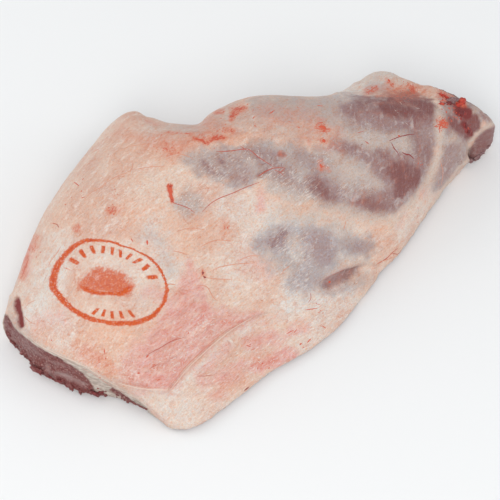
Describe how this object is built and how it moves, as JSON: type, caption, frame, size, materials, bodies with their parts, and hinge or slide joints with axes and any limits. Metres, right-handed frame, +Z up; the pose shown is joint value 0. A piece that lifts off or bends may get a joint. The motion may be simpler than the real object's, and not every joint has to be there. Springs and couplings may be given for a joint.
{
  "type": "raw leg of lamb",
  "caption": "Raw leg of lamb lying on its inner side, with a broad cut end of lean meat, a trimmed shank, muscles swelling under pale fat and a thin flap of flank.",
  "frame": {"origin": "on the table under the middle of the leg's bounding box", "axes": "+X from the broad cut end to the shank, +Y towards the back of the thigh, +Z up"},
  "size_m": [0.3332, 0.2034, 0.0803],
  "materials": {
    "fell_and_fat": "moist, satin"
  },
  "bodies": {
    "root": {"leg": "fell_and_fat"}
  },
  "joints": []
}
